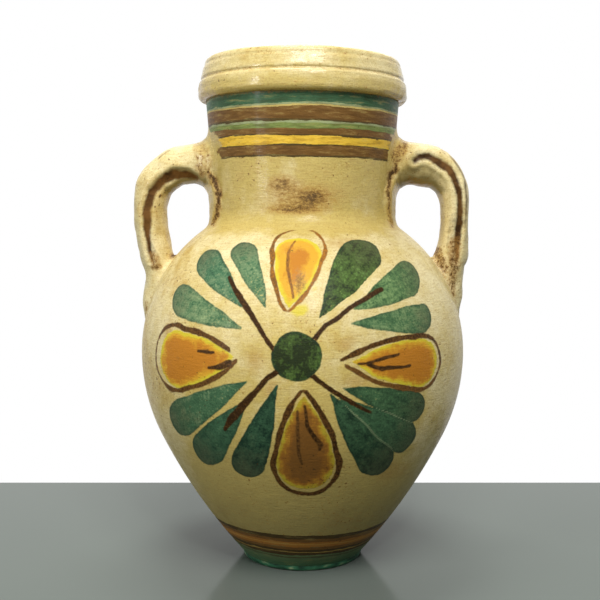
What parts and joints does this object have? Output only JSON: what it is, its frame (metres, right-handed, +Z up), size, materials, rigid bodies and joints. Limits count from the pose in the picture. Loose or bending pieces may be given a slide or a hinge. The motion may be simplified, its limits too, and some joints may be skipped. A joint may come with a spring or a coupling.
{
  "type": "two-handled jar",
  "caption": "Round-bellied earthenware jar on a narrow foot, with a flaring neck, a grooved rim collar and a strap handle on each side, for holding water, dry goods or flowers.",
  "frame": {"origin": "middle of the foot's underside, where the jar's axis meets the surface that it stands on", "axes": "+Z up along the jar's axis, X through the two handles, and -Y towards the painted front"},
  "size_m": [0.2707, 0.2596, 0.4],
  "materials": {
    "cream_glaze": "semi-gloss brushed slip glaze with painted ornament",
    "green_glaze": "semi-gloss painted glaze",
    "bare_clay": "matt fired clay"
  },
  "bodies": {
    "root": {"floor_slab": "green_glaze", "lower_wall": "cream_glaze", "upper_wall": "cream_glaze", "neck": "cream_glaze", "rim_collar": "cream_glaze", "left_handle": "cream_glaze", "right_handle": "cream_glaze", "left_neck_pad": "cream_glaze", "right_neck_pad": "cream_glaze", "neck_seam_coil": "cream_glaze", "belly_seam_coil": "bare_clay", "floor_seam_coil": "bare_clay"}
  },
  "joints": []
}
